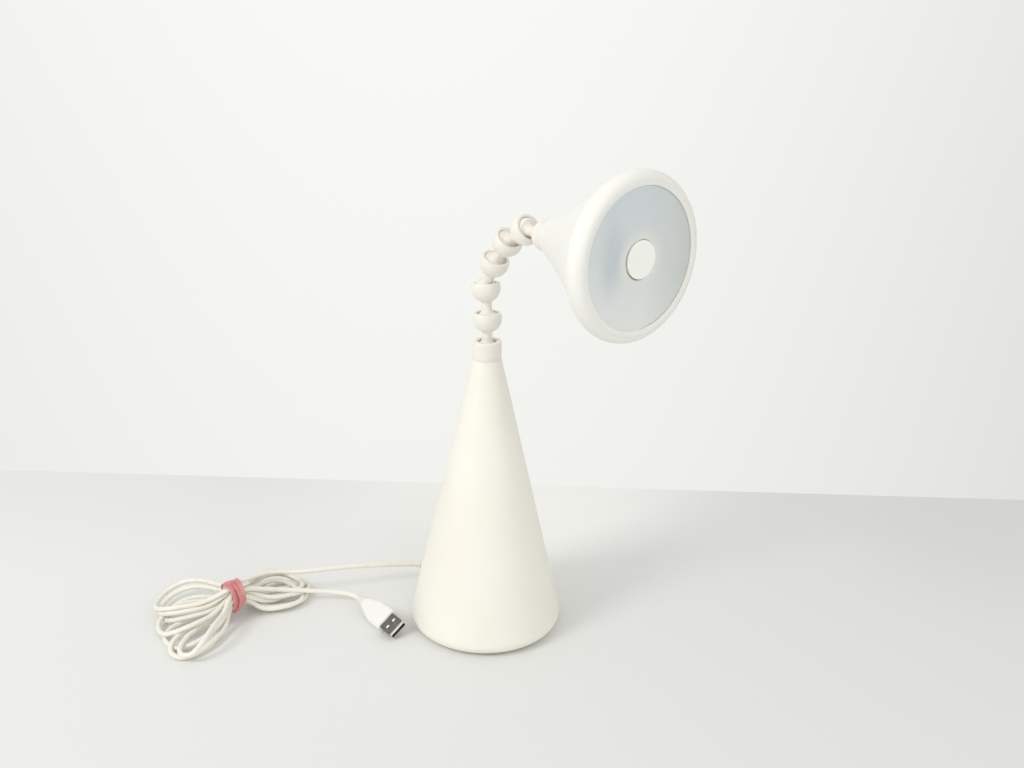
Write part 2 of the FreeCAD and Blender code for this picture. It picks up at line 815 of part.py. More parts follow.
# ------------------------------------------------------------------ plug
def plug_placed(shape):
    """A plug piece is built along -Y with its thickness along Z and its shell root at y = 0."""
    out = shape.copy()
    out.rotate(V(0, 0, 0), V(0, 1, 0), -plug_roll)
    out.translate(V(plug_x, plug_root_y, plug_axis_z()))
    return out


def centred_box(width, thickness, y0, y1):
    return Part.makeBox(width, y1 - y0, thickness, V(-width / 2, y0, -thickness / 2))


def grip_outline():
    """Plan of the grip, square at the shell and tapered towards the sleeve."""
    half = grip_width / 2
    tail = grip_tail_width / 2
    shoulder = grip_length - grip_shoulder
    return [V(-half, 0, 0), V(half, 0, 0), V(half, shoulder, 0), V(tail, grip_length, 0),
            V(-tail, grip_length, 0), V(-half, shoulder, 0), V(-half, 0, 0)]


def grip_body():
    slab = Part.Face(Part.makePolygon(grip_outline())).extrude(V(0, 0, grip_thickness))
    slab.translate(V(0, 0, -grip_thickness / 2))
    bends = [e for e in slab.Edges if e.BoundBox.YLength < 1e-6 and e.BoundBox.XLength < 1e-6
             and abs(e.BoundBox.YMin - (grip_length - grip_shoulder)) < 1e-6]
    slab = slab.makeFillet(grip_shoulder_round, bends)
    long_edges = [e for e in slab.Edges if e.BoundBox.ZLength < 1e-6 and e.BoundBox.YLength > 1e-3]
    return slab.makeFillet(grip_corner, long_edges)


def plug_grip():
    grip = grip_body()
    tail = relief_rings(tail_root_radius, tail_tip_radius, 0, tail_length, tail_rib_count, 0.5)
    tail.rotate(V(0, 0, 0), V(1, 0, 0), -90)
    tail.translate(V(0, grip_length, 0))
    grip = grip.fuse(tail)
    pocket = centred_box(shell_width, shell_thickness, -1, shell_embedded)
    return plug_placed(grip.cut(pocket).removeSplitter())


def plug_shell():
    skin = centred_box(shell_width, shell_thickness, -shell_exposed, shell_embedded)
    inner = centred_box(shell_width - 2 * shell_sheet, shell_thickness - 2 * shell_sheet,
                        -shell_exposed - 1, shell_embedded + 1)
    skin = skin.cut(inner)
    for side in (-1, 1):
        x = side * latch_spacing / 2 - latch_width / 2
        window = Part.makeBox(latch_width, latch_length, 2 * shell_thickness,
                              V(x, latch_from_front - shell_exposed, -shell_thickness))
        skin = skin.cut(window)
    return plug_placed(skin)


def tongue_box():
    """The tongue lies against the upper sheet of the shell."""
    high = shell_thickness / 2 - shell_sheet
    return high - tongue_thickness, high


def plug_tongue():
    low, high = tongue_box()
    width = shell_width - 2 * shell_sheet
    tongue = Part.makeBox(width, shell_embedded + shell_exposed - 0.6, high - low,
                          V(-width / 2, -shell_exposed + 0.6, low))
    stop = Part.makeBox(width, shell_embedded, shell_thickness - 2 * shell_sheet,
                        V(-width / 2, 0, -high))
    return plug_placed(tongue.fuse(stop).removeSplitter())


def plug_contacts():
    low, high = tongue_box()
    strips = []
    for k in range(contact_count):
        x = (k - (contact_count - 1) / 2.0) * contact_pitch - contact_width / 2
        strip = Part.makeBox(contact_width, contact_length, contact_thickness,
                             V(x, -contact_length, low - contact_thickness))
        strips.append(plug_placed(strip))
    return strips


# ------------------------------------------------------------------ hank
def slab(root, root_radius, end, end_radius, height):
    """Slab on the floor with a plan that goes from one circle to another."""
    along = V(end.x - root.x, end.y - root.y, 0)
    heading = math.degrees(math.atan2(along.y, along.x))
    lean = math.degrees(math.asin((end_radius - root_radius) / along.Length))
    edges = []
    tips = []
    for centre, radius, mid_angle in ((root, root_radius, 180), (end, end_radius, 0)):
        for side in (1, -1):
            a = math.radians(heading + side * (90 + lean))
            tips.append(V(centre.x + radius * math.cos(a), centre.y + radius * math.sin(a), 0))
        m = math.radians(heading + mid_angle)
        mid = V(centre.x + radius * math.cos(m), centre.y + radius * math.sin(m), 0)
        edges.append(Part.Arc(tips[-2], mid, tips[-1]).toShape())
    edges.append(Part.makeLine(tips[1], tips[3]))
    edges.append(Part.makeLine(tips[2], tips[0]))
    outline = Part.Wire(Part.__sortEdges__(edges))
    return Part.Face(outline).extrude(V(0, 0, height))


def lobe(end, end_radius, end_height):
    """One bunch of loops, arching down from the waist to its round end on the floor."""
    low = hank_waist.z - waist_half_height
    high = hank_waist.z + waist_half_height
    root_radius = waist_half_width - 1.0
    along = V(end.x - hank_waist.x, end.y - hank_waist.y, 0)
    tip = along.Length + end_radius
    side = [V(-root_radius, 0, low), V(lobe_landing * along.Length, 0, 0), V(tip, 0, 0),
            V(tip, 0, end_height), V(-root_radius, 0, high), V(-root_radius, 0, low)]
    arch = Part.Face(Part.makePolygon(side)).extrude(V(0, 4 * end_radius, 0))
    arch.translate(V(0, -2 * end_radius, 0))
    arch.rotate(V(0, 0, 0), V(0, 0, 1), math.degrees(math.atan2(along.y, along.x)))
    arch.translate(V(hank_waist.x, hank_waist.y, 0))
    return slab(hank_waist, root_radius, end, end_radius, high).common(arch)


def waist_solid(grow, length):
    """Elliptical bar along the hank heading, centred on the waist."""
    ellipse = Part.Ellipse(V(0, 0, 0), waist_half_width + grow, waist_half_height + grow)
    bar = Part.Face(Part.Wire([ellipse.toShape()])).extrude(V(0, 0, length))
    bar.translate(V(0, 0, -length / 2))
    bar.rotate(V(0, 0, 0), V(0, 0, 1), 90)
    bar.rotate(V(0, 0, 0), V(0, 1, 0), 90)
    bar.rotate(V(0, 0, 0), V(0, 0, 1), hank_axis_angle)
    bar.translate(hank_waist)
    return bar


def cord_hank(tubes):
    waist = waist_solid(0, waist_length)
    body = waist.fuse([
        lobe(right_lobe_end, right_lobe_radius, high_lobe),
        lobe(far_lobe_end, far_lobe_radius, high_lobe),
        lobe(near_lobe_end, near_lobe_radius, low_lobe),
        slab(far_lobe_end, link_radius, near_lobe_end, link_radius, low_lobe - 0.6)])
    around_waist = waist_solid(2 * waist_half_width, band_width)
    body = body.cut(around_waist.cut(waist_solid(0, 2 * band_width)))
    for tube in tubes:
        body = body.cut(tube)
    return body


def hank_band():
    outside = waist_solid(band_thickness, band_width)
    return outside.cut(waist_solid(0, 2 * band_width))


# ------------------------------------------------------------------ assembly
def main():
    export(foot_pad(), "foot_pad")
    export(base_plate(), "base_plate")
    export(base_screws(), "base_screws")
    export(ballast_disc(), "ballast_disc")
    export(base_shell(), "base_shell")
    export(neck_collar(), "neck_collar")
    export(collar_nut(), "collar_nut")
    export(base_lead(), "base_lead")
    export(cord_strain_relief(), "cord_strain_relief")

    segment = neck_segment()
    lead = neck_lead()
    for k, lean in enumerate(segment_lean):
        export(leaned(segment, lean, CENTRES[k]), "neck_segment_%d" % (k + 1))
        export(leaned(lead, lean, CENTRES[k]), "neck_lead_%d" % (k + 1))

    head_parts = {
        "head_collar": head_collar, "head_nut": head_nut, "head_lead": head_lead,
        "head_shell": head_shell, "head_bezel": head_bezel, "diffuser": diffuser,
        "reflector": reflector, "led_board": led_board, "switch_body": switch_body,
        "switch_plunger": switch_plunger, "push_button": push_button}
    for name, build in head_parts.items():
        export(in_head(build()), name)
    export([in_head(s) for s in led_chips()], "led_chips")
    export([in_head(s) for s in board_screws()], "board_screws")

    base_run = corded(base_run_points(), cord_diameter)[0]
    plug_run = corded(plug_run_points(), cord_diameter)[0]
    export(base_run, "cord_base_run")
    export(plug_run, "cord_plug_run")
    export(cord_hank([base_run, plug_run]), "cord_hank")
    export(hank_band(), "hank_band")
    export(plug_grip(), "plug_grip")
    export(plug_shell(), "plug_shell")
    export(plug_tongue(), "plug_tongue")
    export(plug_contacts(), "plug_contacts")
    for k, centre in enumerate(CENTRES):
        print("joint centre %d: %.3f %.3f %.3f" % (k, centre.x, centre.y, centre.z))
    for name, points in (("base run", base_run_points()), ("plug run", plug_run_points())):
        print(name, [tuple(round(c, 2) for c in p) for p in points])


main()
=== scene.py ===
"""Looks of a cone-based desk lamp with a ball-jointed neck and a USB cord.

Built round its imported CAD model, in metres and in the CAD frame: +Z up, the head looks along -Y,
the foot pad rests on z = 0.
"""

import math

import bmesh
import bpy
import numpy as np
from mathutils import Matrix, Vector


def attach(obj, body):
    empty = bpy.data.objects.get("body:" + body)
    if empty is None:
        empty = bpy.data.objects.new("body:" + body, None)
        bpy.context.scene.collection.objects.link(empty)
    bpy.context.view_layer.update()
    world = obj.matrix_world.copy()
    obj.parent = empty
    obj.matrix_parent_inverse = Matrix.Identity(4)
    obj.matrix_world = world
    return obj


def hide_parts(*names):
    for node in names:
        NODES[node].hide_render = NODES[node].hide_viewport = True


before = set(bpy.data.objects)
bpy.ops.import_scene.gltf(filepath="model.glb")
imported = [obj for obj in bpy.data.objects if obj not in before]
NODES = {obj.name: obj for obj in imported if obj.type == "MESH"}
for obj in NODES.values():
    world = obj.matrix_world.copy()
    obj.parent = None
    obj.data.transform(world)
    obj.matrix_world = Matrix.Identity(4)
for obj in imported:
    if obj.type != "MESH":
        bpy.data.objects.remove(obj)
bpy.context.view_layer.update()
MM = 0.001

# ------------------------------------------------------------------ camera
CAMERA_PLACE = (-0.36314, -0.46201, 0.3721)
CAMERA_PITCH = 19.139           # degrees below the horizon
CAMERA_ROLL = 0.884
CAMERA_TURN = -39.702           # degrees about +Z, from looking along +Y
CAMERA_LENS = 34.805            # millimetres
CAMERA_SENSOR = 36              # its width, in millimetres


def camera_axes():
    """Right, up and forward of the camera in the CAD frame."""
    p, r = math.radians(CAMERA_PITCH), math.radians(CAMERA_ROLL)
    forward = Vector((0, math.cos(p), -math.sin(p)))
    level = Vector((1, 0, 0))
    down = Vector((0, -math.sin(p), -math.cos(p)))
    right = level * math.cos(r) - down * math.sin(r)
    down = level * math.sin(r) + down * math.cos(r)
    turn = Matrix.Rotation(math.radians(CAMERA_TURN), 3, "Z")
    return turn @ right, turn @ -down, turn @ forward


def add_camera():
    data = bpy.data.cameras.new("camera")
    data.sensor_width = CAMERA_SENSOR
    data.lens = CAMERA_LENS
    camera = bpy.data.objects.new("camera", data)
    right, up, forward = camera_axes()
    turned = Matrix((right, up, -forward)).transposed().to_4x4()
    camera.matrix_world = Matrix.Translation(CAMERA_PLACE) @ turned
    bpy.context.scene.collection.objects.link(camera)
    bpy.context.scene.camera = camera


add_camera()

# ------------------------------------------------------------------ cord
# Sizes in this section are in millimetres.
CORD = 3.3                      # diameter
SUPPLY_RUN = [(-10.18, 68.56, 13.4), (-33, 79.8, 15.7), (-60, 90.7, 18.2), (-86, 102.2, 18.0),
              (-103, 111, 20.8)]
PLUG_RUN = [(-116, 100.5, 17.0), (-102, 97.5, 12.0), (-86, 90.5, 8.8), (-70.6, 80, 7.2),
            (-61.9, 69.8, 6.6), (-61.4, 62.5, 6.6)]
SUPPLY_HELD = 4                 # points at the base that settling leaves where they are
PLUG_HELD = 4                   # and points at the plug
WAIST = np.array([-132.0, 104.5, 17.0])     # middle of the hank, where the band ties it
WAIST_HEADING = math.radians(2)
STRAND_PITCH = 3.6              # between neighbouring strands in the tied waist
ROW_RISE = 0.866                # between two rows of strands, as a share of the pitch
WAIST_HALF = 7.5                # points each side of the band
OUT = np.array([math.cos(WAIST_HEADING), math.sin(WAIST_HEADING), 0])
ACROSS = np.array([-OUT[1], OUT[0], 0])
UP = np.array([0, 0, 1.0])
# Rows of strands in the waist, counted from its middle, and the places in each row in pitches.
WAIST_ROWS = {2: (0.5, -0.5), 1: (1, 0, -1), 0: (1.5, 0.5, -0.5, -1.5), -1: (1, 0, -1),
              -2: (0.5, -0.5)}

# Each loop, by turns on one side of the waist and the other: waist slot (row, place) by which the
# cord comes to it, heading in degrees, reach, side offset going out and coming back, height going
# out, at the tip and coming back, sweep.
LOOPS = [
    ((2, 0), 140, 54, -18, 15, 18, 11, 16, 0),
    ((2, 1), 8, 51, 13, -13, 19, 9, 10, 0),
    ((0, 3), 187, 52, 17, -15, 10, 4, 8, 0),
    ((-1, 0), 14, 45, 13, -11, 8, 4, 10, 0),
    ((0, 1), 171, 50, -17, 15, 13, 5, 12, 0),
    ((0, 2), 6, 54, -15, 16, 11, 6, 15, 0),
    ((1, 0), 145, 51, -15, 12, 17, 8, 14, 0),
    ((1, 1), -8, 48, 12, -12, 16, 6, 7, 0),
    ((-1, 2), 203, 62, 12, -11, 6, 2, 7, 0),
    ((-2, 0), 16, 48, 12, -11, 7, 3, 13, 0),
    ((0, 0), 147, 49, -11, 13, 13, 6, 10, 0),
    ((-1, 1), -2, 51, 11, -14, 9, 2, 6, 0),
    ((-2, 1), 217, 76, -12, 7, 6, 2, 15, -2),
]
LAST_SLOT = (1, 2)              # waist slot between the last loop and the plug
# Points of a loop: share of its reach, share of its side offset.
LOOP_SHAPE = [(.34, .62), (.60, .97), (.84, .97), (1, .52),
              (1, -.52), (.84, -.97), (.60, -.97), (.34, -.62)]
TIP_SHARE = {0.84: 0.4, 1: 1.0}     # share of the tip's height, by share of the reach
FULL_OFFSET = 0.6               # share of the reach from which the loop keeps its side offset

SETTLE_ROUNDS = 500
SETTLE_SAMPLES = 8              # places looked at for each point of the cord
SEARCH_EVERY = 8                # rounds between two searches for strands that lie close
SINK = 0.012                    # of a free point in each round
STIFFNESS = 0.05                # share of a change of bend that is undone in each round
GAIN = 0.56                     # share of a push that the points follow
NEAR = 1.6 * CORD               # strands closer than this are looked at,
FURTHER_ON = 3.5 * CORD         # if they are this much further on along the cord
TOUCH = 1.01 * CORD             # strands closer than this push each other apart
FLOOR_CLEARANCE = 0.35          # how far settling keeps the jacket off the floor
LEAST_BEND = 8.8                # radius under which the cord resists being bent
SPRING = 0.1                    # how strongly it does


def waist_point(slot, along):
    row, place = slot
    side = WAIST_ROWS[row][place] * STRAND_PITCH
    return WAIST + OUT * along + ACROSS * side + UP * row * STRAND_PITCH * ROW_RISE


def loop_points(heading, reach, out_side, back_side, z_out, z_tip, z_back, sweep):
    a = math.radians(heading)
    ahead = np.array([math.cos(a), math.sin(a), 0])
    left = np.array([-ahead[1], ahead[0], 0])
    middle, half = (out_side + back_side) / 2, (out_side - back_side) / 2
    points = []
    for far, side in LOOP_SHAPE:
        z_leg = z_out if side > 0 else z_back
        tip_share = TIP_SHARE.get(far, 0.0)
        z = z_leg * (1 - tip_share) + z_tip * tip_share
        offset = middle * min(1, far / FULL_OFFSET) + half * side + sweep * math.sin(math.pi * far)
        points.append(WAIST * (1, 1, 0) + ahead * reach * far + left * offset + UP * z)
    return points


def cord_points():
    """Points of the cord from the base to the plug, and which of them stay where they are."""
    points = [np.array(p, float) for p in SUPPLY_RUN]
    held = [k < SUPPLY_HELD for k in range(len(SUPPLY_RUN))]
    half = WAIST_HALF
    for slot, *shape in LOOPS:
        points += [waist_point(slot, x) for x in (half, 0, -half)]
        held += [False, True, False]
        points += loop_points(*shape)
        held += [False] * len(LOOP_SHAPE)
        half = -half
    points += [waist_point(LAST_SLOT, x) for x in (half, 0, -half)]
    held += [False, True, False]
    points += [np.array(p, float) for p in PLUG_RUN]
    held += [k >= len(PLUG_RUN) - PLUG_HELD for k in range(len(PLUG_RUN))]
    return np.array(points), np.array(held)


def spline_weights(count, per):
    """Weights of the control points for samples along an open quadratic B-spline."""
    rows = []
    for i in range(count - 2):
        for k in range(per):
            t = k / per
            w = np.zeros(count)
            before, middle, after = (1 - t) ** 2, 2 * t * (1 - t), t * t
            w[i] += before if i == 0 else before / 2
            w[i + 1] += middle + (0 if i == 0 else before / 2)
            w[i + 1] += 0 if i == count - 3 else after / 2
            w[i + 2] += after if i == count - 3 else after / 2
            rows.append(w)
    last = np.zeros(count)
    last[-1] = 1
    return np.array(rows + [last])


def spring(points):
    """How strongly the cord resists each bend that is tighter than it likes."""
    a, b = points[1:-1] - points[:-2], points[2:] - points[1:-1]
    la, lb = np.linalg.norm(a, axis=1), np.linalg.norm(b, axis=1)
    half = np.arccos(np.clip((a * b).sum(1) / (la * lb), -1, 1)) / 2
    radius = np.minimum(la, lb) / 2 / np.tan(np.maximum(half, 1e-3)) * np.cos(half)
    return np.clip((LEAST_BEND - radius) / LEAST_BEND, 0, 1)[:, None] * SPRING


def settle(points, held):
    """Lets the loops lie.

    Strands push each other apart, over and under where they cross, sink until something carries
    them, and keep their curves open as a springy cord does.
    """
    weights = spline_weights(len(points), SETTLE_SAMPLES)
    back = weights.T / np.maximum((weights ** 2).sum(0), 1e-6)[:, None]
    free = (~held)[:, None] * 1.0
    shape = points[1:-1] - (points[:-2] + points[2:]) / 2
    points = points.copy()
    for step in range(SETTLE_ROUNDS):
        line = weights @ points
        along = np.gradient(line, axis=0)
        along /= np.linalg.norm(along, axis=1, keepdims=True)
        if step % SEARCH_EVERY == 0:
            steps = np.linalg.norm(np.diff(line, axis=0), axis=1)
            run = np.concatenate([[0], np.cumsum(steps)])
            apart = ((line[:, None] - line[None]) ** 2).sum(2)
            i, j = np.nonzero((apart < NEAR ** 2) & (run[:, None] - run[None] > FURTHER_ON))
        gap = line[i] - line[j]
        distance = np.linalg.norm(gap, axis=1) + 1e-6
        depth = np.maximum(TOUCH - distance, 0)
        crossing = np.linalg.norm(np.cross(along[i], along[j]), axis=1) ** 2
        over = np.where(gap[:, 2] >= 0, 1, -1)
        way = gap / distance[:, None] * (1 - crossing)[:, None] + np.outer(crossing * over, UP)
        way /= np.linalg.norm(way, axis=1, keepdims=True)
        push, count = np.zeros_like(line), np.zeros(len(line))
        hit = depth > 0
        half = way[hit] * (depth[hit] * 0.5)[:, None]
        np.add.at(push, i[hit], half)
        np.add.at(push, j[hit], -half)
        np.add.at(count, i[hit], 1)
        np.add.at(count, j[hit], 1)
        push /= np.maximum(count, 1)[:, None]
        push[:, 2] += np.maximum(CORD / 2 + FLOOR_CLEARANCE - line[:, 2], 0)
        points += free * GAIN * (back @ push)
        middle = (points[:-2] + points[2:]) / 2
        points[1:-1] -= free[1:-1] * (points[1:-1] - middle - shape) * STIFFNESS
        middle = (points[:-2] + points[2:]) / 2
        points[1:-1] += free[1:-1] * spring(points) * (middle - points[1:-1])
        points[:, 2] -= SINK * free[:, 0]
    return points


def link(obj):
    bpy.context.scene.collection.objects.link(obj)
    return obj


def nurbs_curve(name, points, radius):
    data = bpy.data.curves.new(name, "CURVE")
    data.dimensions = "3D"
    data.resolution_u = 10
    data.bevel_depth = 1.0
    data.bevel_resolution = 5
    data.use_fill_caps = True
    spline = data.splines.new("NURBS")
    spline.points.add(len(points) - 1)
    for k, p in enumerate(points):
        spline.points[k].co = (*p, 1)
        spline.points[k].radius = radius
    spline.order_u = 3
    spline.use_endpoint_u = True
    return link(bpy.data.objects.new(name, data))


CORD_POINTS = settle(*cord_points()) * MM
cord = nurbs_curve("cord", CORD_POINTS, CORD / 2 * MM)
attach(cord, "base")
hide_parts("cord_base_run", "cord_hank", "cord_plug_run")


# ------------------------------------------------------------------ mesh helpers
def mesh_piece(name, rings, closed_along=False, smooth_angle=40.0):
    """Skin over closed rings of points in millimetres, its ends capped or joined to each other."""
    bm = bmesh.new()
    rows = [[bm.verts.new(Vector(p) * MM) for p in ring] for ring in rings]
    pairs = list(zip(rows, rows[1:]))
    if closed_along:
        pairs.append((rows[-1], rows[0]))
    for one, two in pairs:
        for k in range(len(one)):
            n = (k + 1) % len(one)
            bm.faces.new((one[k], one[n], two[n], two[k]))
    if not closed_along:
        bm.faces.new(list(reversed(rows[0])))
        bm.faces.new(rows[-1])
    bmesh.ops.recalc_face_normals(bm, faces=bm.faces)
    data = bpy.data.meshes.new(name)
    bm.to_mesh(data)
    bm.free()
    data.shade_smooth()
    data.set_sharp_from_angle(angle=math.radians(smooth_angle))
    return link(bpy.data.objects.new(name, data))


def rounded_rectangle(half_width, half_height, corner, steps=6):
    """Outline of a rounded rectangle as (x, z) points."""
    points = []
    for quadrant, (sx, sz) in enumerate(((1, 1), (-1, 1), (-1, -1), (1, -1))):
        for k in range(steps + 1):
            a = math.radians(90 * quadrant + 90 * k / steps)
            points.append((sx * (half_width - corner) + corner * math.cos(a),
                           sz * (half_height - corner) + corner * math.sin(a)))
    return points


# ------------------------------------------------------------------ rubber band round the hank
# Sizes in this section are in millimetres.
BAND_HALF = (7.6, 8.2)          # the strands' bundle, half width and half height
BAND_WIDTH = 4.3
BAND_WAVE = 0.06                # how much its width varies, as a share
BAND_THICKNESS = 0.9
BAND_CORNER = 0.4
BAND_CURL = 0.5                 # how far its long edges curl in or out
BAND_STEP = 3                   # degrees between the rings of its mesh
BAND_SOFTENED = 5               # rings each side over which a corner of its path is rounded
BAND_TURNS = 3
# Where the band runs: degrees round the bundle (90 on top, 180 towards the camera side), offset
# along the hank, height of its middle over the strands, and how far it is rolled on edge.
BAND_PATH = [
    (20, -4.2, 0.6, 0), (62, -5.4, 0.7, 14), (105, -5.0, 0.6, 8), (140, -4.2, 0.5, -6),
    (172, -3.3, 0.6, -8), (214, -3.9, 1.2, 10), (242, -5.4, 3.3, 34), (265, -5.4, 2.4, 38),
    (310, -3.0, 0.9, 10), (380, -1.7, 0.6, 0), (425, -1.6, 1.3, -8), (470, -1.3, 1.6, -32),
    (505, -0.7, 1.8, -38), (540, -0.1, 1.7, -26), (575, -1.2, 2.0, -6), (605, -3.4, 2.9, 10),
    (670, -1.0, 1.6, 0), (740, 1.3, 0.6, 0), (785, 1.4, 1.0, 20), (830, 0.8, 0.8, 24),
    (865, 0.6, 0.7, 14), (900, 0.7, 0.8, 8), (935, 0.5, 1.0, -4), (965, -1.8, 2.0, 6),
    (1030, -2.4, 1.7, 0)]


def band_stations():
    """Evenly spaced stations of the band, with the corners of its path rounded."""
    turned, *values = np.array(BAND_PATH, float).T
    at = np.arange(0, 360 * BAND_TURNS, BAND_STEP)
    soft = np.hanning(2 * BAND_SOFTENED + 3)[1:-1]
    smooth = []
    for value in values:
        even = np.interp(at, turned, value, period=360 * BAND_TURNS)
        ends = np.concatenate([even[-BAND_SOFTENED:], even, even[:BAND_SOFTENED]])
        smooth.append(np.convolve(ends, soft / soft.sum(), "valid"))
    return np.radians(at), *smooth


def band_rings():
    """A flat band that goes round the bundle several times, its turns lying over each other."""
    turned, offset, lift, roll = band_stations()
    outward = np.outer(np.cos(turned), ACROSS) + np.outer(np.sin(turned), UP)
    line = WAIST + np.outer(offset, OUT)
    line = line + np.outer((BAND_HALF[0] + lift) * np.cos(turned), ACROSS)
    line = line + np.outer((BAND_HALF[1] + lift) * np.sin(turned), UP)
    ahead = np.roll(line, -1, axis=0) - np.roll(line, 1, axis=0)
    ahead /= np.linalg.norm(ahead, axis=1, keepdims=True)
    outward -= (outward * ahead).sum(1)[:, None] * ahead
    outward /= np.linalg.norm(outward, axis=1, keepdims=True)
    aside = np.cross(outward, ahead)
    rings = []
    for k, place in enumerate(line):
        a = math.radians(roll[k])
        flat = aside[k] * math.cos(a) + outward[k] * math.sin(a)
        out = outward[k] * math.cos(a) - aside[k] * math.sin(a)
        width = BAND_WIDTH * (1 + BAND_WAVE * math.sin(5 * turned[k] / 3))
        ring = []
        for x, z in rounded_rectangle(width / 2, BAND_THICKNESS / 2, BAND_CORNER, 3):
            curl = BAND_CURL * (2 * x / width) ** 2 * math.sin(turned[k] * 4 / 3)
            ring.append(place + flat * x + out * (z + curl))
        rings.append(ring)
    return rings


band = mesh_piece("hank_rubber_band", band_rings(), closed_along=True, smooth_angle=60)
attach(band, "base")
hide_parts("hank_band")

# ------------------------------------------------------------------ plug overmould
# Sizes in this section are in millimetres; y runs back along the plug, from the metal shell.
PLUG_PLACE = (-61.4, 26.5, 6.6)     # front end of the grip
PLUG_ROLL = 33.6                # degrees
SHELL_MOUTH = 14.2              # y of the open end of the metal shell, in the CAD frame
MOUTH_HIGHLIGHT = 0.7            # width of the painted highlight along it
TAIL_LENGTH = 7.5
# Stations along the grip: distance from the metal shell, half width, half height, corner radius.
GRIP_STATIONS = [
    (0, 7.5, 3.5, 2.6), (0.15, 7.8, 3.8, 2.8), (0.5, 8.0, 4.0, 3.0), (1.6, 8.0, 4.0, 3.0),
    (8, 7.97, 3.98, 2.98), (13.0, 7.95, 3.95, 2.95), (14.2, 7.85, 3.93, 2.93),
    (15.4, 7.6, 3.9, 2.9), (20, 6.25, 3.8, 2.8), (24, 5.05, 3.7, 2.7), (27, 4.15, 3.6, 2.7),
    (28.0, 3.8, 3.5, 2.8), (28.4, 3.45, 3.25, 2.8), (28.5, 3.1, 2.95, 2.6)]
GRIP_LENGTH = GRIP_STATIONS[-1][0]
TAIL_ROOT, TAIL_TIP = 3.1, 2.2      # radius of the tail at its two ends
TAIL_RIBS = 4
# One rib with the groove before it: share of its length, height over the tail.
RIB_SHAPE = [(0.02, -0.8), (0.28, -0.8), (0.34, 0.05), (0.42, 0.15), (0.88, 0.15), (0.96, 0.05)]
TAIL_END = (0.1, 0.45)          # how far the tail's last edge is drawn in, in two steps


def plug_rings():
    """Outlines of the grip and its ribbed tail, from the metal shell to the cord."""
    outlines = [(y, (half_width, half_height, corner))
                for y, half_width, half_height, corner in GRIP_STATIONS]
    rib = TAIL_LENGTH / TAIL_RIBS
    for k in range(TAIL_RIBS):
        for share, height in RIB_SHAPE:
            radius = TAIL_ROOT + (TAIL_TIP - TAIL_ROOT) * (k + share) / TAIL_RIBS + height
            outlines.append((GRIP_LENGTH + rib * (k + share), (radius,) * 3))
    for inset in TAIL_END:
        outlines.append((GRIP_LENGTH + TAIL_LENGTH, (TAIL_TIP - inset,) * 3))
    turn = Matrix.Rotation(math.radians(-PLUG_ROLL), 3, "Y")
    return [[turn @ Vector((x, y, z)) + Vector(PLUG_PLACE) for x, z in rounded_rectangle(*outline)]
            for y, outline in outlines]


overmould = mesh_piece("plug_overmould", plug_rings(), smooth_angle=50)
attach(overmould, "base")
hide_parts("plug_grip")


# ------------------------------------------------------------------ materials
class Paint:
    """One procedural material, built from noise in the piece's own coordinates."""

    def __init__(self, name):
        self.material = bpy.data.materials.new(name)
        self.material.use_nodes = True
        self.tree = self.material.node_tree
        self.tree.nodes.clear()
        out = self.node("ShaderNodeOutputMaterial")
        self.shader = self.node("ShaderNodeBsdfPrincipled")
        self.join(self.shader.outputs[0], out.inputs["Surface"])
        self.place = self.node("ShaderNodeTexCoord").outputs["Object"]

    def node(self, kind, **settings):
        made = self.tree.nodes.new(kind)
        for key, value in settings.items():
            setattr(made, key, value)
        return made

    def join(self, one, two):
        self.tree.links.new(one, two)

    def set(self, **values):
        for key, value in values.items():
            self.shader.inputs[key.replace("_", " ")].default_value = value

    def noise(self, scale, detail=3.0, roughness=0.5, stretch=None):
        made = self.node("ShaderNodeTexNoise")
        made.inputs["Scale"].default_value = scale
        made.inputs["Detail"].default_value = detail
        made.inputs["Roughness"].default_value = roughness
        self.join(self.placed(stretch), made.inputs["Vector"])
        return made.outputs["Fac"]

    def placed(self, stretch=None):
        if stretch is None:
            return self.place
        made = self.node("ShaderNodeMapping")
        made.inputs["Scale"].default_value = stretch
        self.join(self.place, made.inputs["Vector"])
        return made.outputs["Vector"]

    def spread(self, value, low, high, start=0.25, end=0.75, smooth=False):
        """Maps start..end of a value to low..high."""
        made = self.node("ShaderNodeMapRange")
        made.interpolation_type = "SMOOTHSTEP" if smooth else "LINEAR"
        made.inputs["From Min"].default_value = start
        made.inputs["From Max"].default_value = end
        made.inputs["To Min"].default_value = low
        made.inputs["To Max"].default_value = high
        self.join(value, made.inputs["Value"])
        return made.outputs["Result"]

    def blend(self, share, one, two):
        """Mixes two colours, or sockets, by a share."""
        made = self.node("ShaderNodeMix", data_type="RGBA")
        self.feed(share, made.inputs[0])
        self.feed(one, made.inputs[6])
        self.feed(two, made.inputs[7])
        return made.outputs[2]

    def feed(self, value, socket):
        if isinstance(value, bpy.types.NodeSocket):
            self.join(value, socket)
        else:
            socket.default_value = (*value, 1) if isinstance(value, tuple) else value

    def colour(self, value):
        self.join(value, self.shader.inputs["Base Color"])

    def rough(self, value):
        self.join(value, self.shader.inputs["Roughness"])

    def bump(self, *layers):
        """Layers of (height, depth in millimetres), fine to coarse."""
        normal = None
        for height, depth in layers:
            made = self.node("ShaderNodeBump")
            made.inputs["Distance"].default_value = depth * MM
            self.join(height, made.inputs["Height"])
            if normal is not None:
                self.join(normal, made.inputs["Normal"])
            normal = made.outputs["Normal"]
        self.join(normal, self.shader.inputs["Normal"])


def linear(red, green, blue):
    """Linear colour of an sRGB one."""
    def one(v):
        v /= 255
        return v / 12.92 if v <= 0.04045 else ((v + 0.055) / 1.055) ** 2.4
    return (one(red), one(green), one(blue))


